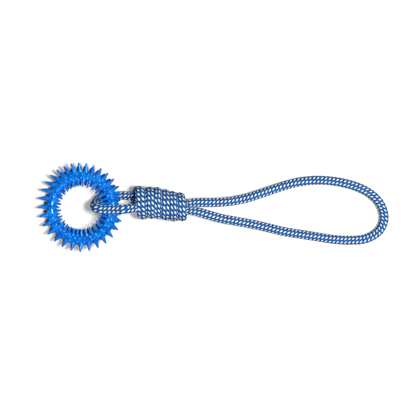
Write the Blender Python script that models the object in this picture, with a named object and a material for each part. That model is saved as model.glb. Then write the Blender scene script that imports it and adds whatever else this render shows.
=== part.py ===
"""Dog tug toy: a spiked rubber ring held in the end loop of a knotted rope, with a long rope handle.

The toy lies on the ground. +X runs from the ring to the handle, +Z is up, and the origin is on the
ground under the middle of the toy. Lengths are in metres and angles in degrees.
"""

import math

import bmesh
import bpy
from mathutils import Matrix, Vector

# Rope
ROPE_RADIUS = 0.0045
NODE_GAP = 0.0003  # left between solids that touch on the real toy

# Spiked ring
RING_CENTRE_RADIUS = 0.0324  # from the ring's centre to the middle of its round section
RING_SECTION_RADIUS = 0.006
RING_TILT = 10  # its side towards the knot is held up by the strand under it
RING_SIDES = 62
SECTION_SIDES = 12
SPIKES_PER_ROW = 31
SPIKE_REACH = 0.0129  # from the middle of the section to the tip
SPIKE_ELEVATION = 26  # above and below the plane of the ring
SPIKE_FOOT_RADIUS = 0.0025  # where the spike leaves the section
SPIKE_TIP_RADIUS = 0.0005
SPIKE_SIDES = 6
SPIKE_PHASE_SHARE = 0.35  # of the way from one spike to the next
SPIKE_ROOT_SHARE = 0.5  # how deep the spike starts, as a share of the section radius
SHARP_ANGLE = 40

# Knot
KNOT_LENGTH = 0.0523
KNOT_START_RADIUS = 0.0172  # outer radius at the ring end
KNOT_FINISH_RADIUS = 0.0144  # outer radius at the handle end
KNOT_YAW = -4.95
WINDING_PITCH_SHARE = 0.1654  # of the knot's length, from one turn to the next
WINDING_FIRST_SHARE = 0.065  # of the knot's length, to the first turn, at its +Y side
WINDING_GIRTH_SHARE = 0.468  # half of the wound rope's width, as a share of that pitch
WINDING_SQUEEZE = 0.8  # the wound rope's thickness, as a share of its width
WINDING_SIDES = 8
WINDING_POINTS_PER_TURN = 24
WINDING_TURNS = 6
FLAT_DEPTH = 0.0009  # how deep the rope is pressed flat where the toy lies on it

# Rope strands that run through the knot, as shares of the room inside the winding at each end
START_STRAND_RADIUS_SHARE = 0.373
START_STRAND_SIDE_SHARE = 0.522
START_STRAND_LIFT_SHARE = 0.261
FINISH_STRAND_RADIUS_SHARE = 0.442
FINISH_STRAND_SIDE_SHARE = 0.467
CORE_POINTS = 8

# End loop that holds the ring
BIGHT_ROPE_RADIUS = 0.0042
SPIKE_CLEARANCE = 0.0006  # between the rope and the tips of the spikes
SPIKES_TO_KNOT = 0.0099  # between the outermost spikes and the knot's ring end
KNOT_SIDESTEP = 0.00472  # how far the knot's ring end lies to +Y of the ring's centre
BIGHT_STEP = 0.0042

# Handle
HANDLE_REACH = 0.2007  # from the knot to the far end of the rope's centreline
HANDLE_SPREAD = 0.0608  # between the two sides of the handle, at the widest
HANDLE_STEP = 0.0125

# The handle's centreline: along its reach, across its spread, and the rope's girth.
HANDLE_ROUTE_SHARES = [
    (0.018, 0.063, 0.80),
    (0.058, 0.074, 0.98),
    (0.139, 0.075, 1.0),
    (0.220, 0.092, 1.0),
    (0.301, 0.142, 1.0),
    (0.381, 0.225, 1.0),
    (0.462, 0.317, 1.0),
    (0.543, 0.397, 1.0),
    (0.624, 0.440, 1.0),
    (0.705, 0.442, 1.0),
    (0.785, 0.408, 1.0),
    (0.866, 0.333, 1.0),
    (0.932, 0.217, 1.0),
    (0.977, 0.067, 1.0),
    (0.999, -0.117, 1.0),
    (0.995, -0.283, 1.0),
    (0.967, -0.425, 1.0),
    (0.907, -0.533, 1.0),
    (0.826, -0.558, 1.0),
    (0.745, -0.542, 1.0),
    (0.664, -0.500, 1.0),
    (0.583, -0.458, 1.0),
    (0.503, -0.417, 1.0),
    (0.422, -0.353, 1.0),
    (0.341, -0.292, 1.0),
    (0.260, -0.242, 1.0),
    (0.179, -0.193, 1.0),
    (0.109, -0.128, 1.0),
    (0.058, -0.081, 0.98),
    (0.018, -0.067, 0.80),
]
HANDLE_DOWN_SHARE = 0.6  # of its reach, after which the handle lies on the ground

# The end loop's centreline round the ring, in the ring's own frame: out from the middle of its
# section as a share of the way to the tips, across as a share of the rope's radius, and up as a
# share of the way to the strand over it.
BIGHT_ROUTE_SHARES = [
    (1.43, -0.42, 0.64),
    (1.26, -0.50, 0.92),
    (1.00, -0.58, 1.01),
    (0.56, -0.62, 1.00),
    (0.00, -0.62, 1.00),
    (-0.60, -0.58, 1.00),
    (-0.97, -0.45, 1.01),
    (-1.30, -0.15, 0.88),
    (-1.48, 0.20, 0.60),
    (-1.57, 0.50, 0.20),
    (-1.60, 0.85, -0.20),
    (-1.57, 1.35, -0.60),
    (-1.44, 1.85, -0.90),
    (-1.17, 2.20, -1.02),
    (-0.79, 2.40, -1.02),
    (-0.18, 2.62, -1.01),
    (0.40, 2.75, -1.00),
    (0.92, 2.80, -1.00),
    (1.36, 2.70, -1.01),
]

WINDING_PITCH = WINDING_PITCH_SHARE * KNOT_LENGTH
WINDING_RADIUS = WINDING_GIRTH_SHARE * WINDING_PITCH
WINDING_DEPTH = WINDING_SQUEEZE * WINDING_RADIUS
START_ROOM = KNOT_START_RADIUS - 2 * WINDING_DEPTH
START_STRAND_RADIUS = START_STRAND_RADIUS_SHARE * START_ROOM
START_STRAND_SIDE = START_STRAND_SIDE_SHARE * START_ROOM
START_STRAND_LIFT = START_STRAND_LIFT_SHARE * START_ROOM
FINISH_ROOM = KNOT_FINISH_RADIUS - 2 * WINDING_DEPTH
FINISH_STRAND_RADIUS = FINISH_STRAND_RADIUS_SHARE * FINISH_ROOM
FINISH_STRAND_SIDE = FINISH_STRAND_SIDE_SHARE * FINISH_ROOM

# Colours
BLUE_RUBBER = (0.02, 0.19, 0.71)
BLUE_ROPE = (0.06, 0.16, 0.40)


def remove_objects():
    for found in list(bpy.data.objects):
        bpy.data.objects.remove(found, do_unlink=True)


def new_collection(name):
    made = bpy.data.collections.new(name)
    bpy.context.scene.collection.children.link(made)
    return made


def new_material(name, colour, roughness):
    made = bpy.data.materials.new(name)
    made.use_nodes = True
    surface = made.node_tree.nodes["Principled BSDF"]
    surface.inputs["Base Color"].default_value = (*colour, 1)
    surface.inputs["Roughness"].default_value = roughness
    surface.inputs["Metallic"].default_value = 0
    return made


def add_object(name, data, collection, material=None):
    made = bpy.data.objects.new(name, data)
    collection.objects.link(made)
    if material:
        made.data.materials.append(material)
    return made


def smooth_route(route, step):
    """Points about one step apart on a smooth curve through the route's own points.

    Each point holds its place and the rope's radius there."""
    ends = [2 * route[0] - route[1], *route, 2 * route[-1] - route[-2]]
    fine = [route[0]]
    for before, start, finish, after in zip(ends, ends[1:], ends[2:], ends[3:]):
        parts = max(1, round((finish - start).xyz.length / step))
        for part in range(1, parts + 1):
            t = part / parts
            fine.append(
                (
                    2 * start
                    + (finish - before) * t
                    + (2 * before - 5 * start + 4 * finish - after) * t**2
                    + (3 * start - before - 3 * finish + after) * t**3
                )
                / 2
            )
    return fine


def add_tube(name, points, resolution, collection, material):
    """A closed tube along points, each with a place and a radius."""
    curve = bpy.data.curves.new(name, "CURVE")
    curve.dimensions = "3D"
    curve.bevel_depth = 1
    curve.bevel_resolution = resolution
    curve.use_fill_caps = True
    spline = curve.splines.new("POLY")
    spline.points.add(len(points) - 1)
    for point, (x, y, z, radius) in zip(spline.points, points):
        point.co = (x, y, z, 1)
        point.radius = radius
    return add_object(name, curve, collection, material)


def add_wound_tube(name, points, frame, collection, material):
    """A closed tube of oval section along points round the knot's axis, thin towards the axis."""
    work = bmesh.new()
    sections = []
    for before, place, after in zip([points[0], *points], points, [*points[1:], points[-1]]):
        along = (after - before).normalized()
        outward = Vector((0, place.y, place.z))
        outward = (outward - along * outward.dot(along)).normalized()
        aside = along.cross(outward)
        section = []
        for side in range(WINDING_SIDES):
            angle = 2 * math.pi * (side + 0.5) / WINDING_SIDES
            corner = outward * math.cos(angle) * WINDING_DEPTH + aside * math.sin(angle) * WINDING_RADIUS
            section.append(work.verts.new(frame @ (place + corner)))
        sections.append(section)
    for section, following in zip(sections, sections[1:]):
        for side in range(WINDING_SIDES):
            other = (side + 1) % WINDING_SIDES
            work.faces.new((section[side], section[other], following[other], following[side]))
    work.faces.new(sections[0])
    work.faces.new(sections[-1])
    bmesh.ops.recalc_face_normals(work, faces=work.faces)
    mesh = bpy.data.meshes.new(name)
    work.to_mesh(mesh)
    work.free()
    return add_object(name, mesh, collection, material)


def shade(mesh_object):
    mesh_object.data.shade_smooth()
    mesh_object.data.set_sharp_from_angle(angle=math.radians(SHARP_ANGLE))


def knot_matrix(x, y):
    """The knot's own frame: its axis along X, from the ring end, with the turns on the ground."""
    slope = math.asin((KNOT_START_RADIUS - KNOT_FINISH_RADIUS) / KNOT_LENGTH)
    place = Matrix.Translation((x, y, KNOT_START_RADIUS - FLAT_DEPTH))
    return place @ Matrix.Rotation(math.radians(KNOT_YAW), 4, "Z") @ Matrix.Rotation(slope, 4, "Y")


def winding_points():
    """The wound rope in the knot's frame, a right-handed coil that narrows towards the handle.

    It starts and ends under the knot, where each end runs straight for one rope diameter."""
    start_angle = -math.pi / 2
    steps = WINDING_TURNS * WINDING_POINTS_PER_TURN
    points = []
    for step in range(steps + 1):
        angle = start_angle + 2 * math.pi * step / WINDING_POINTS_PER_TURN
        along = WINDING_FIRST_SHARE * KNOT_LENGTH + WINDING_PITCH * angle / (2 * math.pi)
        narrowing = (KNOT_START_RADIUS - KNOT_FINISH_RADIUS) * along / KNOT_LENGTH
        reach = KNOT_START_RADIUS - WINDING_DEPTH - narrowing
        points.append(Vector((along, reach * math.cos(angle), reach * math.sin(angle))))
    return [straight_run(points[0], -1), *points, straight_run(points[-1], 1)]


def straight_run(place, way):
    """Where the wound rope ends, one diameter along from a place under the knot."""
    climb = WINDING_PITCH / (2 * math.pi)
    heading = Vector((climb, Vector(place.yz).length, 0)).normalized()
    return place + heading * way * 2 * WINDING_RADIUS


def least_gap(points, radius, per_turn):
    """The least space between one turn of a coil and the turns beside it."""
    least = math.inf
    for index, place in enumerate(points):
        for other in points[index + per_turn // 2 :]:
            least = min(least, (other - place).length)
    return least - 2 * radius


def core_strand(start, finish):
    """One of the two strands inside the winding, from the ring end to the handle end."""
    points = []
    for step in range(CORE_POINTS):
        share = step / (CORE_POINTS - 1)
        place = start.lerp(finish, share)
        radius = START_STRAND_RADIUS + (FINISH_STRAND_RADIUS - START_STRAND_RADIUS) * share
        points.append((place, radius))
    return points


def in_world(frame, points):
    """Each place in the frame with its radius, as one four-number vector in the world."""
    return [Vector((*(frame @ place), radius)) for place, radius in points]


def build_ring(pose, collection, cutters, material):
    mesh = bpy.data.meshes.new("ring_section")
    work = bmesh.new()
    bmesh.ops.create_circle(work, segments=SECTION_SIDES, radius=RING_SECTION_RADIUS)
    place = Matrix.Translation((RING_CENTRE_RADIUS, 0, 0)) @ Matrix.Rotation(math.pi / 2, 4, "X")
    bmesh.ops.transform(work, matrix=place, verts=work.verts)
    bmesh.ops.spin(
        work,
        geom=work.verts[:] + work.edges[:],
        cent=(0, 0, 0),
        axis=(0, 0, 1),
        angle=2 * math.pi,
        steps=RING_SIDES,
        use_merge=True,
    )
    bmesh.ops.recalc_face_normals(work, faces=work.faces)
    work.to_mesh(mesh)
    work.free()
    ring = add_object("spiked_ring", mesh, collection, material)

    spikes = add_object("ring_spikes", spike_mesh(), cutters)
    spikes.hide_render = True
    spikes.display_type = "WIRE"
    union = ring.modifiers.new("spikes", "BOOLEAN")
    union.operation = "UNION"
    union.solver = "EXACT"
    union.use_self = True
    union.object = spikes
    ring.matrix_world = pose
    spikes.matrix_world = pose
    shade(ring)
    return ring


def spike_mesh():
    """Four rows of pointed spikes: two round the outside of the ring and two round its hole."""
    root = RING_SECTION_RADIUS * SPIKE_ROOT_SHARE
    depth = SPIKE_REACH - root
    slope = (SPIKE_FOOT_RADIUS - SPIKE_TIP_RADIUS) / (SPIKE_REACH - RING_SECTION_RADIUS)
    work = bmesh.new()
    for level in (1, -1):
        for inward in (False, True):
            lean = math.radians(SPIKE_ELEVATION) * level
            lean = math.pi - lean if inward else lean
            for index in range(SPIKES_PER_ROW):
                stagger = SPIKE_PHASE_SHARE if level == 1 else SPIKE_PHASE_SHARE + 0.5
                turn = 2 * math.pi * (index + stagger) / SPIKES_PER_ROW
                place = (
                    Matrix.Rotation(turn, 4, "Z")
                    @ Matrix.Translation((RING_CENTRE_RADIUS, 0, 0))
                    @ Matrix.Rotation(math.pi / 2 - lean, 4, "Y")
                    @ Matrix.Translation((0, 0, root + depth / 2))
                )
                bmesh.ops.create_cone(
                    work,
                    cap_ends=True,
                    segments=SPIKE_SIDES,
                    radius1=SPIKE_TIP_RADIUS + slope * depth,
                    radius2=SPIKE_TIP_RADIUS,
                    depth=depth,
                    matrix=place,
                )
    mesh = bpy.data.meshes.new("ring_spikes")
    work.to_mesh(mesh)
    work.free()
    return mesh


def cut_flat(piece, cutters):
    """Presses the piece flat against the ground."""
    size = KNOT_LENGTH * 2
    mesh = bpy.data.meshes.new("ground")
    work = bmesh.new()
    bmesh.ops.create_cube(work, size=size)
    work.to_mesh(mesh)
    work.free()
    ground = add_object("ground", mesh, cutters)
    middle = sum((Vector(corner) for corner in piece.bound_box), Vector()) / 8
    middle = piece.matrix_world @ middle
    ground.location = (middle.x, middle.y, -size / 2)
    ground.hide_render = True
    ground.display_type = "WIRE"
    cut = piece.modifiers.new("flat", "BOOLEAN")
    cut.operation = "DIFFERENCE"
    cut.solver = "EXACT"
    cut.object = ground


def main():
    remove_objects()
    toy = new_collection("dog_tug_toy")
    cutters = new_collection("cutters")
    rubber = new_material("ring_rubber", BLUE_RUBBER, 0.3)
    handle_rope = new_material("handle_rope", BLUE_ROPE, 0.85)
    bight_rope = new_material("bight_rope", BLUE_ROPE, 0.85)
    wound_rope = new_material("wound_rope", BLUE_ROPE, 0.85)
    over_rope = new_material("over_strand_rope", BLUE_ROPE, 0.85)
    under_rope = new_material("under_strand_rope", BLUE_ROPE, 0.85)

    # The ring's left spikes are on the ground, and its other side leans on the strand under it.
    tilt = math.radians(RING_TILT)
    rise = SPIKE_REACH * math.sin(math.radians(SPIKE_ELEVATION))
    out = SPIKE_REACH * math.cos(math.radians(SPIKE_ELEVATION))
    tip_radius = RING_CENTRE_RADIUS + out
    ring_height = tip_radius * math.sin(tilt) + rise * math.cos(tilt) + SPIKE_TIP_RADIUS
    left = tip_radius * math.cos(tilt) + rise * math.sin(tilt)
    knot_run = KNOT_LENGTH * math.cos(math.radians(KNOT_YAW))
    overall = 2 * left + SPIKES_TO_KNOT + knot_run + HANDLE_REACH + ROPE_RADIUS
    ring_x = left - overall / 2
    ring = Matrix.Translation((ring_x, 0, ring_height)) @ Matrix.Rotation(-tilt, 4, "Y")
    build_ring(ring, toy, cutters, rubber)

    # Knot
    knot = knot_matrix(ring_x + left + SPIKES_TO_KNOT, KNOT_SIDESTEP)
    winding = winding_points()
    gap = least_gap(winding, WINDING_RADIUS, WINDING_POINTS_PER_TURN)
    print(f"least gap in the winding: {gap * 1000:.2f} mm")
    wound_piece = add_wound_tube("knot_winding", winding, knot, toy, wound_rope)
    cut_flat(wound_piece, cutters)
    shade(wound_piece)

    strands = (("core_strand_over", -1, over_rope), ("core_strand_under", 1, under_rope))
    for name, side, material in strands:
        start = Vector((NODE_GAP / 2, side * START_STRAND_SIDE, -side * START_STRAND_LIFT))
        finish = Vector((KNOT_LENGTH - NODE_GAP / 2, side * FINISH_STRAND_SIDE, 0))
        add_tube(name, in_world(knot, core_strand(start, finish)), 2, toy, material)

    # End loop round the ring
    strand_height = rise + BIGHT_ROPE_RADIUS + SPIKE_CLEARANCE
    route = []
    for side in (-1, 1):
        mouth = Vector((-NODE_GAP / 2, side * START_STRAND_SIDE, -side * START_STRAND_LIFT))
        inner = mouth - Vector((START_STRAND_RADIUS / 2, 0, 0))
        route.append(in_world(knot, [(mouth, START_STRAND_RADIUS), (inner, START_STRAND_RADIUS)]))
    beside = []
    for out_share, across_share, up_share in BIGHT_ROUTE_SHARES:
        x = RING_CENTRE_RADIUS + out_share * out
        y = across_share * BIGHT_ROPE_RADIUS
        beside.append((Vector((x, y, up_share * strand_height)), BIGHT_ROPE_RADIUS))
    points = [*route[0], *in_world(ring, beside), *reversed(route[1])]
    points = smooth_route(points, BIGHT_STEP)
    add_tube("ring_bight", points, 2, toy, bight_rope)

    # Handle
    root = knot @ Vector((KNOT_LENGTH, 0, 0))
    route = []
    for side in (1, -1):
        mouth = Vector((KNOT_LENGTH + NODE_GAP / 2, side * FINISH_STRAND_SIDE, 0))
        outer = mouth + Vector((FINISH_STRAND_RADIUS / 2, 0, 0))
        route.append(in_world(knot, [(mouth, FINISH_STRAND_RADIUS), (outer, FINISH_STRAND_RADIUS)]))
    loop = []
    for along_share, across_share, girth_share in HANDLE_ROUTE_SHARES:
        settled = min(1, along_share / HANDLE_DOWN_SHARE)
        drop = 1 - settled**2 * (3 - 2 * settled)
        x = root.x + along_share * HANDLE_REACH
        y = root.y + across_share * HANDLE_SPREAD
        z = ROPE_RADIUS + (root.z - ROPE_RADIUS) * drop
        loop.append(Vector((x, y, z, girth_share * ROPE_RADIUS)))
    points = smooth_route([*route[0], *loop, *reversed(route[1])], HANDLE_STEP)
    add_tube("handle_loop", points, 2, toy, handle_rope)


main()
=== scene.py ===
"""Dog tug toy: a spiked rubber ring in the end loop of a braided rope, with a wound knot and a handle.

Lengths are in metres, in the same frame as the solids. The rope's routes repeat those of the solids.
"""

import math

import bmesh
import bpy
import numpy as np
from mathutils import Matrix, Vector


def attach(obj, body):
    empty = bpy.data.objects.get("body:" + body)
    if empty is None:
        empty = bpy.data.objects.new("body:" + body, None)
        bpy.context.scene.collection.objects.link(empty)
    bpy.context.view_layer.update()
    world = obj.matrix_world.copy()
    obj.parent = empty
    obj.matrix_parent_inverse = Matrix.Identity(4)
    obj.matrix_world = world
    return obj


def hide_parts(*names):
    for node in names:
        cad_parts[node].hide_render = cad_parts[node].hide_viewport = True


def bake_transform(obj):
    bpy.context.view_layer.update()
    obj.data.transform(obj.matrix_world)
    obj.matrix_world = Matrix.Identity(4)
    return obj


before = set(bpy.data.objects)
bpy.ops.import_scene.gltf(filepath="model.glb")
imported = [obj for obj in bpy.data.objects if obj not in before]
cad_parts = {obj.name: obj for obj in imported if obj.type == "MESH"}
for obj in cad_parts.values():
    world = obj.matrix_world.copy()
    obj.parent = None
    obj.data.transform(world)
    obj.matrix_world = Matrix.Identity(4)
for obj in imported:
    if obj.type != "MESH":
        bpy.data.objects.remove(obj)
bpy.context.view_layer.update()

# Places and sizes that the solids have too
ROPE_RADIUS = 0.0045
NODE_GAP = 0.0003  # between two stretches of the rope
RING_CENTRE = Vector((-0.1336025, 0.0, 0.0137086))
RING_TILT = math.radians(10)
RING_RADIUS = 0.0324  # to the middle of its section
SPIKES_PER_ROW = 31
SPIKE_REACH = 0.0129  # from the middle of the section
SPIKE_ELEVATION = math.radians(26)
SPIKE_ROOM = 0.0006  # between the spikes' tips and the end loop
KNOT_FACE = Vector((-0.0793944, 0.00472, 0.0163))
KNOT_END = Vector((-0.0273642, 0.0002137, 0.0135))
KNOT_LENGTH = 0.0523
KNOT_START_RADIUS = 0.0172
KNOT_FINISH_RADIUS = 0.0144
KNOT_YAW = math.radians(-4.95)
PITCH = 0.1654 * KNOT_LENGTH  # from one turn of the winding to the next
WOUND_WIDTH = 0.468 * PITCH  # half of the wound rope's width, along the knot
WOUND_DEPTH = 0.8 * WOUND_WIDTH  # half of its thickness
START_ROOM = KNOT_START_RADIUS - 2 * WOUND_DEPTH  # inside the winding's first turn
START_RADIUS = 0.373 * START_ROOM  # of the two strands there
START_SIDE = 0.522 * START_ROOM
START_LIFT = 0.261 * START_ROOM
FINISH_ROOM = KNOT_FINISH_RADIUS - 2 * WOUND_DEPTH  # inside its last turn
FINISH_RADIUS = 0.442 * FINISH_ROOM
FINISH_SIDE = 0.467 * FINISH_ROOM
BIGHT_RADIUS = 0.0042
HANDLE_REACH = 0.2007
HANDLE_SPREAD = 0.0608
HANDLE_DOWN = 0.6  # the share of its reach by which the handle lies on the ground

# The handle's route: along and across as shares of its reach and spread, and its girth as a share of
# the rope's
HANDLE_ROUTE = [
    (0.018, 0.063, 0.80), (0.058, 0.074, 0.98), (0.139, 0.075, 1.0), (0.220, 0.092, 1.0),
    (0.301, 0.142, 1.0), (0.381, 0.225, 1.0), (0.462, 0.317, 1.0), (0.543, 0.397, 1.0),
    (0.624, 0.440, 1.0), (0.705, 0.442, 1.0), (0.785, 0.408, 1.0), (0.866, 0.333, 1.0),
    (0.932, 0.217, 1.0), (0.977, 0.067, 1.0), (0.999, -0.117, 1.0), (0.995, -0.283, 1.0),
    (0.967, -0.425, 1.0), (0.907, -0.533, 1.0), (0.826, -0.558, 1.0), (0.745, -0.542, 1.0),
    (0.664, -0.500, 1.0), (0.583, -0.458, 1.0), (0.503, -0.417, 1.0), (0.422, -0.353, 1.0),
    (0.341, -0.292, 1.0), (0.260, -0.242, 1.0), (0.179, -0.193, 1.0), (0.109, -0.128, 1.0),
    (0.058, -0.081, 0.98), (0.018, -0.067, 0.80),
]
# The end loop's route round the ring: out in reaches of the spikes, across in the rope's radii, and up
# in shares of the height at which it clears the spikes
BIGHT_ROUTE = [
    (1.43, -0.42, 0.82), (1.26, -0.50, 0.95), (1.00, -0.58, 1.01), (0.56, -0.62, 1.00),
    (0.00, -0.62, 1.00), (-0.60, -0.58, 1.00), (-0.97, -0.45, 1.01), (-1.30, -0.15, 0.88),
    (-1.48, 0.20, 0.60), (-1.57, 0.50, 0.20), (-1.60, 0.85, -0.20), (-1.57, 1.35, -0.60),
    (-1.44, 1.85, -0.90), (-1.17, 2.20, -1.02), (-0.79, 2.40, -1.02), (-0.18, 2.62, -1.01),
    (0.40, 2.75, -1.00), (0.92, 2.80, -1.00), (1.36, 2.70, -1.01),
]
# Where the end loop's two strands enter the knot: across, above its axis, and how steeply they dive
ENTRIES = [(-0.0056, 0.0110, 0.36), (0.0074, -0.0024, 0)]
ENTRY_DEPTHS = (0.009, 0.0045, 0)  # of their last points, along the knot
BIGHT_ROUTE_STEP = 0.0008
HANDLE_ROUTE_STEP = 0.001
GROUND_GAP = 0.0001  # nothing comes nearer to the ground
UP = np.array((0.0, 0.0, 1.0))


def add(name, data):
    """A new object in the scene."""
    made = bpy.data.objects.new(name, data)
    bpy.context.scene.collection.objects.link(made)
    return made


# The camera looks straight down at the middle of the photograph.
IMAGE_CENTRE = (-0.00552, -0.00086)
IMAGE_WIDTH = 0.42162
FOCUS_HEIGHT = 0.008
CAMERA_HEIGHT = 2.0
SENSOR_WIDTH = 36

lens = bpy.data.cameras.new("camera")
lens.sensor_fit = "HORIZONTAL"
lens.sensor_width = SENSOR_WIDTH
lens.lens = SENSOR_WIDTH * (CAMERA_HEIGHT - FOCUS_HEIGHT) / IMAGE_WIDTH
lens.clip_start = 0.01
lens.clip_end = 20
camera = add("camera", lens)
camera.location = (*IMAGE_CENTRE, CAMERA_HEIGHT)
bpy.context.scene.camera = camera


def smooth_route(route, step):
    """Points about one step apart on the smooth curve through the route's own points."""
    route = [np.array(point, float) for point in route]
    ends = [2 * route[0] - route[1], *route, 2 * route[-1] - route[-2]]
    fine = [route[0]]
    for before, start, finish, after in zip(ends, ends[1:], ends[2:], ends[3:]):
        parts = max(1, round(np.linalg.norm((finish - start)[:3]) / step))
        for part in range(1, parts + 1):
            t = part / parts
            fine.append((
                2 * start + (finish - before) * t
                + (2 * before - 5 * start + 4 * finish - after) * t**2
                + (3 * start - before - 3 * finish + after) * t**3
            ) / 2)
    return np.array(fine)


def evenly(points, step):
    """The same route with its points one equal step apart, and how far along it each one is."""
    along = np.r_[0, np.cumsum(np.linalg.norm(np.diff(points[:, :3], axis=0), axis=1))]
    count = max(2, round(along[-1] / step))
    wanted = np.linspace(0, along[-1], count + 1)
    even = np.stack([np.interp(wanted, along, points[:, k]) for k in range(points.shape[1])], 1)
    return even, wanted


def in_world(matrix, places):
    """Places and radii in a frame of their own as route points in the world."""
    return [(*(matrix @ Vector(place)), radius) for place, radius in places]


# The frames of the knot, from its face along its axis, and of the ring
slope = math.asin((KNOT_START_RADIUS - KNOT_FINISH_RADIUS) / KNOT_LENGTH)
knot = (
    Matrix.Translation(KNOT_FACE) @ Matrix.Rotation(KNOT_YAW, 4, "Z") @ Matrix.Rotation(slope, 4, "Y")
)
ring = Matrix.Translation(RING_CENTRE) @ Matrix.Rotation(-RING_TILT, 4, "Y")


def end_loop_route():
    """From the upper strand in the knot over the ring, through its hole and back below it."""
    ends = []
    for side, lift, dive in ENTRIES:
        inside = [(Vector((run, side, lift - dive * run)), BIGHT_RADIUS) for run in ENTRY_DEPTHS]
        ends.append(in_world(knot, inside))
    spike_out = SPIKE_REACH * math.cos(SPIKE_ELEVATION)
    height = SPIKE_REACH * math.sin(SPIKE_ELEVATION) + BIGHT_RADIUS + SPIKE_ROOM
    beside = [
        (Vector((RING_RADIUS + out * spike_out, across * BIGHT_RADIUS, up * height)), BIGHT_RADIUS)
        for out, across, up in BIGHT_ROUTE
    ]
    return smooth_route([*ends[0], *in_world(ring, beside), *reversed(ends[1])], BIGHT_ROUTE_STEP)


def handle_route():
    """From the knot's end down to the ground, round the handle and back."""
    ends = []
    for side in (1, -1):
        mouth = Vector((KNOT_LENGTH + NODE_GAP / 2, side * FINISH_SIDE, 0))
        outer = mouth + Vector((FINISH_RADIUS / 2, 0, 0))
        ends.append(in_world(knot, [(mouth, FINISH_RADIUS), (outer, FINISH_RADIUS)]))
    loop = []
    for along, across, girth in HANDLE_ROUTE:
        settled = min(1, along / HANDLE_DOWN)
        drop = 1 - settled**2 * (3 - 2 * settled)
        loop.append((
            KNOT_END.x + along * HANDLE_REACH,
            KNOT_END.y + across * HANDLE_SPREAD,
            ROPE_RADIUS + (KNOT_END.z - ROPE_RADIUS) * drop,
            girth * ROPE_RADIUS,
        ))
    return smooth_route([*ends[0], *loop, *reversed(ends[1])], HANDLE_ROUTE_STEP)


# The braid: blue strands with a thin white one between them, each going over one and under the next
ROWS = 7  # of white dots round the rope
DOT = 0.0039  # from one white dot to the next along the handle
BENT_DOT = 0.0044  # and where the rope is wound or bent tightly
WHITE_HALF = 0.185  # half of the white strand's width, as a share of the pitch
BLUE_HALF = 0.48
WHITE_THICKNESS = 0.85  # as a share of the blue strand's
SWAY = 0.55  # how far a strand goes up and down, in units of the blue strand's thickness
WEAVE_RANGE = (-0.3, 1.5)  # its lowest and highest
BRAID_DEPTH = 0.0003024  # how deep one unit of the weave is in the rope's surface
AROUND = 60  # points round the rope
STEP = 0.0004  # from one ring of points to the next
INNER_STEP = 2 * STEP  # inside the knot, where little shows


def weave(x, y):
    """How high the braid stands at x dots along and y rows round, in a blue strand's thickness."""
    white_index = np.round(y - x)
    blue_index = np.round(x + y)
    off_white = (y - x - white_index) / math.sqrt(2) / WHITE_HALF
    off_blue = (x + y - blue_index) / math.sqrt(2) / BLUE_HALF
    white = SWAY * np.cos(np.pi * (x + y - white_index))
    blue = -SWAY * np.cos(np.pi * (x - y - blue_index))
    white += np.sqrt(np.clip(1 - off_white**2, 0, 1)) * WHITE_THICKNESS
    blue += np.sqrt(np.clip(1 - off_blue**2, 0, 1))
    white = np.where(np.abs(off_white) < 1, white, -1)
    blue = np.where(np.abs(off_blue) < 1, blue, -1)
    return np.clip(np.maximum(white, blue), *WEAVE_RANGE)


def directions(points):
    """The unit tangent at each point."""
    tangents = np.gradient(points[:, :3], axis=0)
    return tangents / np.linalg.norm(tangents, axis=1)[:, None]


def squared(vectors, tangents):
    """The unit vectors nearest to the given ones that are square to the tangents."""
    normals = vectors - tangents * np.sum(vectors * tangents, 1)[:, None]
    return normals / np.linalg.norm(normals, axis=1)[:, None]


def transported(tangents, first):
    """A normal at each point, carried along from the first one without twist."""
    normal = np.array(first, float)
    normals = []
    for tangent in tangents:
        normal = normal - tangent * normal.dot(tangent)
        normal /= np.linalg.norm(normal)
        normals.append(normal)
    return np.array(normals)


def column(values, count):
    """One value, or one for each point, as a column."""
    return np.asarray(values, float).reshape(-1, 1) * np.ones((count, 1))


def tube_faces(count):
    """Faces between rings of points, and a fan round the middle point at each end."""
    first = np.arange(count - 1)[:, None] * AROUND
    here = first + np.arange(AROUND)
    beside = first + (np.arange(AROUND) + 1) % AROUND
    faces = np.stack([here, here + AROUND, beside + AROUND, beside], 2).reshape(-1, 4).tolist()
    middle = count * AROUND
    last_ring = (count - 1) * AROUND
    for side in range(AROUND):
        other = (side + 1) % AROUND
        faces.append([middle, side, other])
        faces.append([middle + 1, last_ring + other, last_ring + side])
    return faces


def tube_coords(dots, turns):
    """The place in the braid of each corner of those faces, as dots along and rows round."""
    rows = ROWS * np.arange(AROUND + 1) / AROUND + turns
    grid = np.stack(np.broadcast_arrays(dots, rows), 2)
    corners = np.stack([grid[:-1, :-1], grid[1:, :-1], grid[1:, 1:], grid[:-1, 1:]], 2)
    fans = np.full((2 * 3 * AROUND, 2), 0.5)
    return np.concatenate([corners.reshape(-1, 2), fans])


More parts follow.
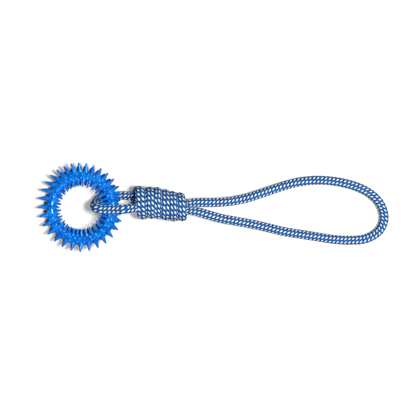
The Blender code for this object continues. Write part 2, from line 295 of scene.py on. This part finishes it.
def braided_tube(name, points, tangents, normals, along, deep, wide, turn, dot):
    """A closed braided tube. deep and wide are its half sizes along and across its normals, turn is how
    many rows the braid is turned round it, and dot is the length of one of the braid's dots."""
    count = len(points)
    sides = np.cross(normals, tangents)
    theta = 2 * np.pi * np.arange(AROUND) / AROUND
    dots = (along / dot)[:, None]
    turns = column(turn, count)
    sunk = BRAID_DEPTH * (1 - weave(dots + 0 * theta, ROWS * theta / (2 * np.pi) + turns))
    deep = column(deep, count) - sunk
    wide = column(wide, count) - sunk
    places = (
        points[:, None, :3]
        + normals[:, None, :] * np.cos(theta)[None, :, None] * deep[:, :, None]
        + sides[:, None, :] * np.sin(theta)[None, :, None] * wide[:, :, None]
    ).reshape(-1, 3)
    places[:, 2] = np.maximum(places[:, 2], GROUND_GAP)
    verts = [*places.tolist(), points[0, :3].tolist(), points[-1, :3].tolist()]

    mesh = bpy.data.meshes.new(name)
    mesh.from_pydata(verts, [], tube_faces(count))
    layer = mesh.uv_layers.new(name="braid")
    layer.data.foreach_set("uv", tube_coords(dots, turns).astype(np.float32).ravel())
    mesh.materials.append(rope)
    mesh.shade_smooth()
    mesh.update()
    work = bmesh.new()
    work.from_mesh(mesh)
    bmesh.ops.recalc_face_normals(work, faces=work.faces)
    work.to_mesh(mesh)
    work.free()
    return add(name, mesh)


class Shader:
    """Short calls that add a node each and return its output."""

    def __init__(self, name):
        self.material = bpy.data.materials.new(name)
        self.material.use_nodes = True
        self.tree = self.material.node_tree
        self.surface = self.tree.nodes["Principled BSDF"]

    def node(self, kind, **settings):
        made = self.tree.nodes.new(kind)
        for key, value in settings.items():
            setattr(made, key, value)
        return made

    def put(self, value, socket):
        """Links an output to the socket, or sets the socket to a plain value."""
        if isinstance(value, bpy.types.NodeSocket):
            self.tree.links.new(value, socket)
        else:
            socket.default_value = value

    def math(self, operation, *values, clamp=False):
        made = self.node("ShaderNodeMath", operation=operation, use_clamp=clamp)
        for value, socket in zip(values, made.inputs):
            self.put(value, socket)
        return made.outputs[0]

    def smooth(self, value, low, high):
        """0 below the low value, 1 above the high one, and a smooth step between them."""
        made = self.node("ShaderNodeMapRange", interpolation_type="SMOOTHSTEP")
        self.put(value, made.inputs["Value"])
        made.inputs["From Min"].default_value = low
        made.inputs["From Max"].default_value = high
        return made.outputs["Result"]

    def mix(self, factor, a, b, blend="MIX"):
        made = self.node("ShaderNodeMix", data_type="RGBA", blend_type=blend)
        factor_socket, a_socket, b_socket = made.inputs[0], made.inputs[6], made.inputs[7]
        self.put(factor, factor_socket)
        for value, socket in ((a, a_socket), (b, b_socket)):
            self.put((*value, 1) if isinstance(value, tuple) else value, socket)
        return made.outputs[2]

    def tint(self, colour, other, mask, amount, blend="MIX"):
        """The colour with an amount of another one where the mask is 1."""
        return self.mix(self.math("MULTIPLY", mask, amount), colour, other, blend)

    def weighted(self, first, *others):
        """A sum of values, each given with its weight."""
        value = self.math("MULTIPLY", *first)
        return self.math("ADD", value, self.weighted(*others)) if others else value

    def noise(self, place, scale, detail, roughness):
        made = self.node("ShaderNodeTexNoise")
        self.put(place, made.inputs["Vector"])
        made.inputs["Scale"].default_value = scale
        made.inputs["Detail"].default_value = detail
        made.inputs["Roughness"].default_value = roughness
        return made.outputs[0]

    def place(self):
        return self.node("ShaderNodeTexCoord").outputs["Object"]

    def finish(self, colour, roughness, rougher, noise, specular):
        """Puts the colour on the surface, and a roughness with some more of it where the noise is 1."""
        self.put(colour, self.surface.inputs["Base Color"])
        value = self.math("ADD", roughness, self.math("MULTIPLY", noise, rougher))
        self.put(value, self.surface.inputs["Roughness"])
        self.surface.inputs["Specular IOR Level"].default_value = specular

    def bump(self, height, strength, distance):
        made = self.node("ShaderNodeBump")
        made.inputs["Strength"].default_value = strength
        made.inputs["Distance"].default_value = distance
        self.put(height, made.inputs["Height"])
        self.put(made.outputs[0], self.surface.inputs["Normal"])


# The rope's colours: its blue strands with painted shade in the gaps between them and a painted highlight
# on their crests, its white strands with painted shade at their edges, where they dip under the blue, and
# between their yarns, and what wear leaves on both
BLUE_GAP_SHADE = (0.001, 0.007, 0.040)
BLUE = (0.004, 0.060, 0.235)
BLUE_CREST_HIGHLIGHT = (0.014, 0.130, 0.400)
WHITE_EDGE_SHADE = (0.10, 0.30, 0.62)
WHITE = (0.86, 0.96, 1.0)
WHITE_YARN_SHADE = (0.50, 0.64, 0.82)
WEAR = (0.75, 0.78, 0.82)
# The rubber's colours
RUBBER_DARK = (0.0005, 0.108, 0.53)
RUBBER_LIGHT = (0.004, 0.212, 0.76)
RUBBER_SPECK = (0.012, 0.26, 0.78)
RUBBER_GLOSS = (0.45, 0.90, 1, 1)


def rope_material():
    """The same weave as the rope's surface, in colour, with yarns that run along each strand, painted
    shade in the braid's gaps and between its yarns, and painted highlights on the blue crests.
    """
    s = Shader("braided_rope")
    split = s.node("ShaderNodeSeparateXYZ")
    s.put(s.node("ShaderNodeUVMap", uv_map="braid").outputs[0], split.inputs[0])
    x, y = split.outputs[0], split.outputs[1]
    total = s.math("ADD", x, y)
    difference = s.math("SUBTRACT", y, x)
    white_index = s.math("ROUND", difference)
    blue_index = s.math("ROUND", total)

    def strand(along, index, across, half, sway, thick):
        """How high a strand stands, and the place across it from -1 to 1."""
        wave = s.math("COSINE", s.math("MULTIPLY", s.math("SUBTRACT", along, index), math.pi))
        q = s.math("DIVIDE", across, math.sqrt(2) * half)
        rest = s.math("SUBTRACT", 1.0, s.math("MULTIPLY", q, q), clamp=True)
        crest = s.math("MULTIPLY", s.math("SQRT", rest), thick)
        raised = s.math("ADD", s.math("MULTIPLY", wave, sway), crest)
        inside = s.math("LESS_THAN", s.math("ABSOLUTE", q), 1.0)
        outside = s.math("MULTIPLY", s.math("SUBTRACT", 1.0, inside), 2.0)
        return s.math("SUBTRACT", raised, outside), q

    def yarns(across, along, slant, number):
        """Waves across a strand for its yarns, which slant round it."""
        place = s.math("ADD", across, s.math("MULTIPLY", along, slant))
        return s.math("SINE", s.math("MULTIPLY", place, number))

    off_white = s.math("SUBTRACT", difference, white_index)
    white, across_white = strand(total, white_index, off_white, WHITE_HALF, SWAY, WHITE_THICKNESS)
    off_blue = s.math("SUBTRACT", total, blue_index)
    opposite = s.math("SUBTRACT", x, y)
    blue, across_blue = strand(opposite, blue_index, off_blue, BLUE_HALF, -SWAY, 1.0)
    is_white = s.smooth(s.math("SUBTRACT", white, blue), low=-0.05, high=0.06)
    is_blue = s.math("SUBTRACT", 1.0, is_white)
    stand = s.math("MAXIMUM", white, blue)
    yarn = s.weighted(
        (yarns(across_white, total, slant=0.35, number=7.5), is_white),
        (yarns(across_blue, difference, slant=0.3, number=9.5), is_blue),
    )
    place = s.place()
    fuzz = s.noise(place, scale=1400, detail=2, roughness=0.6)
    patch = s.noise(place, scale=90, detail=2, roughness=0.5)

    # painted shade: the blue darkens where the braid's surface lies low, in the gaps between the strands
    ground = s.mix(s.smooth(stand, low=0.1, high=1.05), BLUE_GAP_SHADE, BLUE)
    # painted highlight: the blue lightens on the strands' crests, where the braid stands highest
    ground = s.mix(s.smooth(stand, low=0.95, high=1.5), ground, BLUE_CREST_HIGHLIGHT)
    # painted shade in the grooves between the blue strands' yarns
    ground = s.tint(ground, BLUE_GAP_SHADE, s.smooth(yarn, low=0.0, high=-1.0), amount=0.28)
    # random flecks of fuzz in the same light blue
    ground = s.tint(ground, BLUE_CREST_HIGHLIGHT, s.smooth(fuzz, low=0.45, high=0.75), amount=0.20)
    # painted shade: the white strand turns dark blue at its edges and where it dips under the blue ones
    thread = s.mix(s.smooth(stand, low=0.50, high=0.95), WHITE_EDGE_SHADE, WHITE)
    # painted shade in the grooves between the white strand's yarns
    thread = s.tint(thread, WHITE_YARN_SHADE, s.smooth(yarn, low=-0.2, high=-1.0), amount=0.22)
    colour = s.mix(is_white, ground, thread)
    colour = s.tint(colour, WEAR, s.smooth(patch, low=0.35, high=0.7), amount=0.10, blend="MULTIPLY")
    s.finish(colour, roughness=0.62, rougher=0.3, noise=fuzz, specular=0.15)
    s.bump(s.weighted((stand, 0.5), (yarn, 0.11), (fuzz, 0.16)), strength=0.75, distance=0.0005)
    return s.material


def rubber_material():
    """Glossy blue rubber, a little uneven in colour and surface."""
    s = Shader("ring_rubber")
    place = s.place()
    broad = s.noise(place, scale=210, detail=2, roughness=0.5)
    dents = s.noise(place, scale=380, detail=2, roughness=0.5)
    fine = s.noise(place, scale=900, detail=3, roughness=0.6)
    colour = s.mix(s.smooth(broad, low=0.36, high=0.64), RUBBER_DARK, RUBBER_LIGHT)
    colour = s.tint(colour, RUBBER_SPECK, s.smooth(fine, low=0.55, high=0.8), amount=0.25)
    s.finish(colour, roughness=0.12, rougher=0.20, noise=fine, specular=0.55)
    s.surface.inputs["Specular Tint"].default_value = RUBBER_GLOSS
    s.bump(s.weighted((dents, 0.7), (fine, 0.3)), strength=0.45, distance=0.0004)
    return s.material


rope = rope_material()
rubber = rubber_material()


def cord_path(points, every):
    """Some of a cord's points, and always its last."""
    path = points[::every, :3].tolist()
    if points[-1, :3].tolist() != path[-1]:
        path.append(points[-1, :3].tolist())
    return path


# The handle. Its braid is turned by some rows near its ends, and by more round its far bend, whose middle
# and half width are shares of its length.
HANDLE_TURN = -0.1
BEND_TURN = 0.6
BEND_MIDDLE = 0.465
BEND_HALF = 0.21
BEND_SHARPNESS = 6

points, along = evenly(handle_route(), STEP)
girth = points[:, 3]
tangents = directions(points)
normals = squared(UP, tangents)
from_bend = (along / along[-1] - BEND_MIDDLE) / BEND_HALF
turns = HANDLE_TURN + BEND_TURN * np.exp(-(from_bend**BEND_SHARPNESS))
handle = braided_tube("handle_rope", points, tangents, normals, along, girth, girth, turns, DOT)
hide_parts("handle_loop")
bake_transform(handle)
path = cord_path(points, every=10)

# The end loop round the ring. Its braid starts half a row round from the top and ends on a whole row, for
# which the tilt that its normals pick up on the way is taken off.
FIRST_TURN = 0.5
BIGHT_WIDENING = 1.09  # the bend presses the rope a little wide

points, along = evenly(end_loop_route(), STEP)
girth = points[:, 3]
tangents = directions(points)
normals = transported(tangents, UP)
above = math.atan2(np.cross(normals[-1], tangents[-1])[2], normals[-1][2])
tilted = ROWS * above / math.tau
turns = np.linspace(FIRST_TURN, round(FIRST_TURN + tilted) - tilted, len(points))
bight = braided_tube(
    "end_loop_rope", points, tangents, normals, along, girth, girth * BIGHT_WIDENING, turns, BENT_DOT
)
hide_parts("ring_bight")
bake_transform(bight)
path = cord_path(points, every=8)

# The knot bulges at two places: where they are along it, how long they are, and how far they stand out
# to its +Y side
BULGES = [(0.021, 0.0085, 0.0015), (0.042, 0.006, -0.0009)]
INNER_PLACES = (0.1, 0.25, 0.4, 0.55, 0.75, 0.95)  # shares of the knot's length
KNOT_TURN = 0.5


def bulge(axial):
    """How far the knot bulges to its +Y side, at a place along it."""
    return sum(out * np.exp(-(((axial - place) / spread) ** 2)) for place, spread, out in BULGES)


# The two strands inside the knot
for name, side in (("core_strand_over", -1), ("core_strand_under", 1)):
    start = Vector((0, side * START_SIDE, -side * START_LIFT))
    finish = Vector((KNOT_LENGTH, side * FINISH_SIDE, 0))
    places = []
    for t in INNER_PLACES:
        aside = Vector((0, float(bulge(KNOT_LENGTH * t)), 0))
        places.append((start.lerp(finish, t) + aside, START_RADIUS + (FINISH_RADIUS - START_RADIUS) * t))
    points, along = evenly(np.array(in_world(knot, places)), INNER_STEP)
    girth = points[:, 3]
    tangents = directions(points)
    normals = squared(UP, tangents)
    strand = braided_tube(
        name.replace("core", "inner"), points, tangents, normals, along, girth, girth, KNOT_TURN, DOT
    )
    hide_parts(name)
    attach(strand, "knot")

# The winding: the wound rope's place along the knot at each quarter turn, and its half width there. It
# starts under the knot, and its second place is at the +Y side.
WOUND_PLACES = [
    (0.0008, 0.0048), (0.0031, 0.0050), (0.0060, 0.0052), (0.0092, 0.0050),
    (0.0117, 0.0047), (0.0137, 0.0045), (0.0158, 0.0045), (0.0180, 0.0043),
    (0.0199, 0.0041), (0.0216, 0.0040), (0.0224, 0.0040), (0.0240, 0.0042),
    (0.0268, 0.0044), (0.0297, 0.0045), (0.0314, 0.0046), (0.0326, 0.0044),
    (0.0345, 0.0042), (0.0367, 0.0041), (0.0389, 0.0041), (0.0409, 0.0041),
    (0.0429, 0.0042), (0.0449, 0.0043), (0.0475, 0.0043), (0.0494, 0.0042),
    (0.0505, 0.0040),
]
QUARTER_STEP = 1 / 24  # of a quarter turn
TAIL_LENGTH = 2 * WOUND_WIDTH
TAIL_PLACES = (0.25, 0.5, 0.75, 1)  # shares of a tail's length

table = smooth_route([(n, place, half, 0) for n, (place, half) in enumerate(WOUND_PLACES)], QUARTER_STEP)
angle = -math.pi / 2 + table[:, 0] * math.pi / 2
axial = table[:, 1]
half = table[:, 2]
reach = KNOT_START_RADIUS - WOUND_DEPTH - (KNOT_START_RADIUS - KNOT_FINISH_RADIUS) * axial / KNOT_LENGTH
coil = np.stack([axial, reach * np.cos(angle), reach * np.sin(angle), half], 1)
tails = []
for place, way in ((coil[0], -1), (coil[-1], 1)):
    heading = np.array([PITCH / (2 * np.pi), np.hypot(place[1], place[2]), 0, 0])
    heading /= np.linalg.norm(heading)
    tails.append([place + heading * way * TAIL_LENGTH * t for t in TAIL_PLACES])
coil = np.concatenate([np.array(tails[0][::-1]), coil, np.array(tails[1])])
points, along = evenly(coil, STEP)
half = points[:, 3]
points = points[:, :3]
tangents = directions(points)
outward = points * np.array([0, 1, 1])
normals = squared(outward, tangents)
points[:, 1] += bulge(points[:, 0])
turned = np.array(knot.to_3x3()).T
points = points @ turned + np.array(knot.translation)
tangents = tangents @ turned
normals = normals @ turned
winding = braided_tube(
    "knot_rope", points, tangents, normals, along, WOUND_DEPTH, half, KNOT_TURN, BENT_DOT
)
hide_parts("knot_winding")
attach(winding, "knot")

# The spiked ring. A spike's profile: distance from its root, and half sizes along the ring and across it,
# in millimetres.
OUTER_SPIKE = [
    (1.0, 2.9, 2.4), (2.6, 2.85, 2.7), (4.2, 2.65, 2.7), (5.8, 2.3, 2.35), (7.4, 1.95, 2.0),
    (8.8, 1.6, 1.65), (10.0, 1.3, 1.35), (11.0, 1.05, 1.05), (11.7, 0.8, 0.8), (12.1, 0.5, 0.5),
]
INNER_SPIKE = [
    (1.0, 2.3, 2.4), (2.6, 2.1, 2.6), (4.2, 1.8, 2.5), (5.8, 1.55, 2.1), (7.4, 1.4, 1.7),
    (8.8, 1.28, 1.4), (10.0, 1.12, 1.15), (11.0, 0.95, 0.95), (11.7, 0.7, 0.7), (12.0, 0.4, 0.4),
]
MILLIMETRE = 0.001

# The two rows of spikes round the outside and the two round the hole, in millimetres and degrees. places
# is the spikes' mean shift from even steps and its waves round the ring, each as a number of waves and
# its sine and cosine parts. The other pairs are an even value, and more of it at some sides: how much
# more, which way the side faces, and how sharply it ends. A swelling is a place and half sizes, in metres.
OUTER_ROWS = {
    "profile": OUTER_SPIKE,
    "inward": False,
    "places": (23.6, [(1, -3.8, 3.9), (2, 1.2, 0)]),
    "lower_turned": (0, [(3.4, -80, 0.5)]),
    "reach": (12.4, [(1.0, 150, 1.5), (0.9, 30, 1), (0.7, 135, 4), (-0.9, 210, 3)]),
    "lower_share": (0.93, [(-0.30, 0, 0.5), (-0.30, 140, 2)]),
    "upper_pressed": 5.7,
    "lower_pressed": 0.7,
    "lean": (-4, [(20, 140, 1.5)]),
    "rise": (16, []),
    "swelling": ((0.0021, 0, 0.0046), (0.0017, 0.0017, 0.0016)),
}
INNER_ROWS = {
    "profile": INNER_SPIKE,
    "inward": True,
    "places": (32.2, [(1, -7.7, -10.3), (3, 0, -4.7)]),
    "lower_turned": (0, [(5.5, 90, 1), (-5.5, -90, 1)]),
    "reach": (11.1, [(0.4, 190, 1)]),
    "lower_share": (0.92, [(0.16, -40, 1), (-0.24, 180, 1)]),
    "upper_pressed": 0,
    "lower_pressed": 0,
    "lean": (-2, [(6, 140, 1)]),
    "rise": (17, [(-6, 180, 1)]),
    "swelling": ((-0.0019, 0, 0.0049), (0.0016, 0.0014, 0.0015)),
}
OUT_OF_ROUND = (RING_RADIUS, [(0.0008, 290, 1), (-0.0008, 110, 1), (-0.0010, 175, 1.5)])
PRESSED_SIDE = 2  # the way that the spikes under the rope at the knot face, in degrees
PRESSED_SHARPNESS = 36
SECTION_OUT = 0.0054  # half of the section's width and height
SECTION_UP = 0.0058
ROW_HEIGHT = 1.9  # of the upper spikes' roots above the middle of the section, in millimetres
TUBE_SIDES = 180
SECTION_SIDES = 28
SPIKE_SIDES = 16
VOXEL = 0.00042
SOFTENING = 0.5
SOFTENING_STEPS = 3


def facing(turn, degrees):
    """1 where a place on the ring faces that way, and less to 0 at a quarter turn from it."""
    return max(0, math.cos(turn - math.radians(degrees)))


def varied(turn, value):
    """A value that differs round the ring, at one place."""
    even, sides = value
    return even + sum(more * facing(turn, degrees) ** sharpness for more, degrees, sharpness in sides)


def spike_turn(rows, index):
    """Where a spike stands, as the soft spikes don't stand quite evenly."""
    even = math.tau * index / SPIKES_PER_ROW
    shift, waves = rows["places"]
    for number, sine, cosine in waves:
        shift += sine * math.sin(number * even) + cosine * math.cos(number * even)
    return even + math.radians(shift)


def on_ring(turn, place):
    """The frame of a place beside the middle of the section, as out, along and up."""
    out, beside, up = place
    radius = varied(turn, OUT_OF_ROUND)
    return Matrix.Rotation(turn, 4, "Z") @ Matrix.Translation((radius + out, beside, up))


def circle(sides):
    """The angles of that many places round a circle."""
    return [math.tau * side / sides for side in range(sides)]


def join(work, row, other):
    """Faces from one closed row of corners to the next."""
    for q, corner in enumerate(row):
        o = (q + 1) % len(row)
        work.faces.new((corner, row[o], other[o], other[q]))


def grow_tube(work):
    """The ring's plain section, a little out of round."""
    rows = []
    for a in circle(TUBE_SIDES):
        row = []
        for b in circle(SECTION_SIDES):
            out = varied(a, OUT_OF_ROUND) + SECTION_OUT * math.cos(b)
            row.append(work.verts.new((out * math.cos(a), out * math.sin(a), SECTION_UP * math.sin(b))))
        rows.append(row)
    for row, other in zip(rows, [*rows[1:], rows[0]]):
        join(work, row, other)


def grow_spike(work, turn, height, rise, profile, reach, lean):
    """A tapered spike that rises from the ring's plane and leans sideways along the ring. height is that
    of its root, and reach is how far its tip stands from the middle of the section along that plane."""
    axis = Vector((math.cos(rise), 0, math.sin(rise)))
    across = Vector((-math.sin(rise), 0, math.cos(rise)))
    place = on_ring(turn, (0, 0, 0))
    stretch = reach / (profile[-1][0] * abs(axis.x))
    rows = []
    for out, side, up in profile:
        middle = Vector((0, 0, height)) + axis * out * stretch
        middle.y -= math.tan(lean) * (reach - abs(middle.x))
        row = []
        for a in circle(SPIKE_SIDES):
            offset = Vector((0, side * math.cos(a), 0)) + across * up * math.sin(a)
            row.append(work.verts.new(place @ ((middle + offset) * MILLIMETRE)))
        rows.append(row)
    for row, other in zip(rows, rows[1:]):
        join(work, row, other)
    work.faces.new(rows[0][::-1])
    work.faces.new(rows[-1])


def grow_row_spike(work, rows, index, level):
    """One spike of the upper (level 1) or lower (level -1) of two rows. The lower row stands half a step
    further, its spikes are turned and shorter, and those under the rope at the knot are pressed short."""
    lower = level == -1
    turn = spike_turn(rows, index + 0.5 if lower else index)
    if lower:
        turn += math.radians(varied(turn, rows["lower_turned"]))
    reach = varied(turn, rows["reach"])
    if lower:
        reach *= varied(turn, rows["lower_share"])
    pressed = rows["lower_pressed"] if lower else rows["upper_pressed"]
    reach -= pressed * facing(turn, PRESSED_SIDE) ** PRESSED_SHARPNESS
    rise = math.radians(varied(turn, rows["rise"]) * level)
    if rows["inward"]:
        rise = math.pi - rise
    lean = math.radians(varied(turn, rows["lean"]))
    grow_spike(work, turn, ROW_HEIGHT * level, rise, rows["profile"], reach, lean)


def grow_swelling(work, rows, index):
    """A small low swelling between the spikes' roots."""
    place, size = rows["swelling"]
    matrix = on_ring(spike_turn(rows, index + 0.5), place) @ Matrix.Diagonal((*size, 1))
    bmesh.ops.create_icosphere(work, subdivisions=2, radius=1, matrix=matrix)


def ring_mesh():
    """The ring's section with four rows of tapered spikes, before they are grown together."""
    work = bmesh.new()
    grow_tube(work)
    for index in range(SPIKES_PER_ROW):
        for level in (1, -1):
            for rows in (OUTER_ROWS, INNER_ROWS):
                grow_row_spike(work, rows, index, level)
        for rows in (OUTER_ROWS, INNER_ROWS):
            grow_swelling(work, rows, index)
    bmesh.ops.recalc_face_normals(work, faces=work.faces)
    mesh = bpy.data.meshes.new("ring_parts")
    work.to_mesh(mesh)
    work.free()
    return mesh


blank = add("ring_parts", ring_mesh())
grown = blank.modifiers.new("grown", "REMESH")
grown.mode = "VOXEL"
grown.voxel_size = VOXEL
soft = blank.modifiers.new("soft", "SMOOTH")
soft.factor = SOFTENING
soft.iterations = SOFTENING_STEPS
bpy.context.view_layer.update()
mesh = bpy.data.meshes.new_from_object(blank.evaluated_get(bpy.context.evaluated_depsgraph_get()))
bpy.data.objects.remove(blank, do_unlink=True)
mesh.transform(ring)
places = np.empty(len(mesh.vertices) * 3)
mesh.vertices.foreach_get("co", places)
places[2::3] = np.maximum(places[2::3], GROUND_GAP)
mesh.vertices.foreach_set("co", places)
mesh.materials.clear()
mesh.materials.append(rubber)
mesh.shade_smooth()
spiked = add("rubber_ring", mesh)
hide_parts("spiked_ring")
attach(spiked, "ring")

# The floor is pale paper. It looks brighter to the camera than the light that it throws on the toy.
FLOOR_REACH = 3
FLOOR_GLOW = 0.24
FLOOR_SEEN = (0.74, 0.72, 0.70)
FLOOR_LIGHT = (0.22, 0.25, 0.28)

mesh = bpy.data.meshes.new("floor")
work = bmesh.new()
bmesh.ops.create_grid(work, x_segments=2, y_segments=2, size=FLOOR_REACH)
work.to_mesh(mesh)
work.free()
floor = add("floor", mesh)
s = Shader("floor_paper")
seen = s.node("ShaderNodeLightPath").outputs["Is Camera Ray"]
s.put(s.mix(seen, FLOOR_LIGHT, FLOOR_SEEN), s.surface.inputs["Base Color"])
s.surface.inputs["Roughness"].default_value = 0.9
s.surface.inputs["Specular IOR Level"].default_value = 0.0
s.surface.inputs["Emission Color"].default_value = (1, 1, 1, 1)
s.put(s.math("MULTIPLY", seen, FLOOR_GLOW), s.surface.inputs["Emission Strength"])
floor.data.materials.append(s.material)

world = bpy.data.worlds.new("world")
bpy.context.scene.world = world
world.use_nodes = True
background = world.node_tree.nodes["Background"]
background.inputs["Color"].default_value = (0.97, 0.98, 1.0, 1)
background.inputs["Strength"].default_value = 0.06


def lamp(name, place, target, size, power, colour):
    """A round soft light that shines at the target."""
    data = bpy.data.lights.new(name, "AREA")
    data.shape = "DISK"
    data.size = size
    data.energy = power
    data.color = colour
    made = add(name, data)
    made.location = place
    made.rotation_euler = (Vector(target) - Vector(place)).to_track_quat("-Z", "Y").to_euler()


lamp("key", place=(0.80, -0.03, 2.45), target=(0, 0, 0), size=0.58, power=79, colour=(0.99, 0.995, 1))
lamp("fill", place=(-0.1, -1.0, 1.2), target=(-0.05, 0, 0), size=0.6, power=5, colour=(0.95, 0.98, 1))

bpy.context.scene.view_settings.view_transform = "Standard"
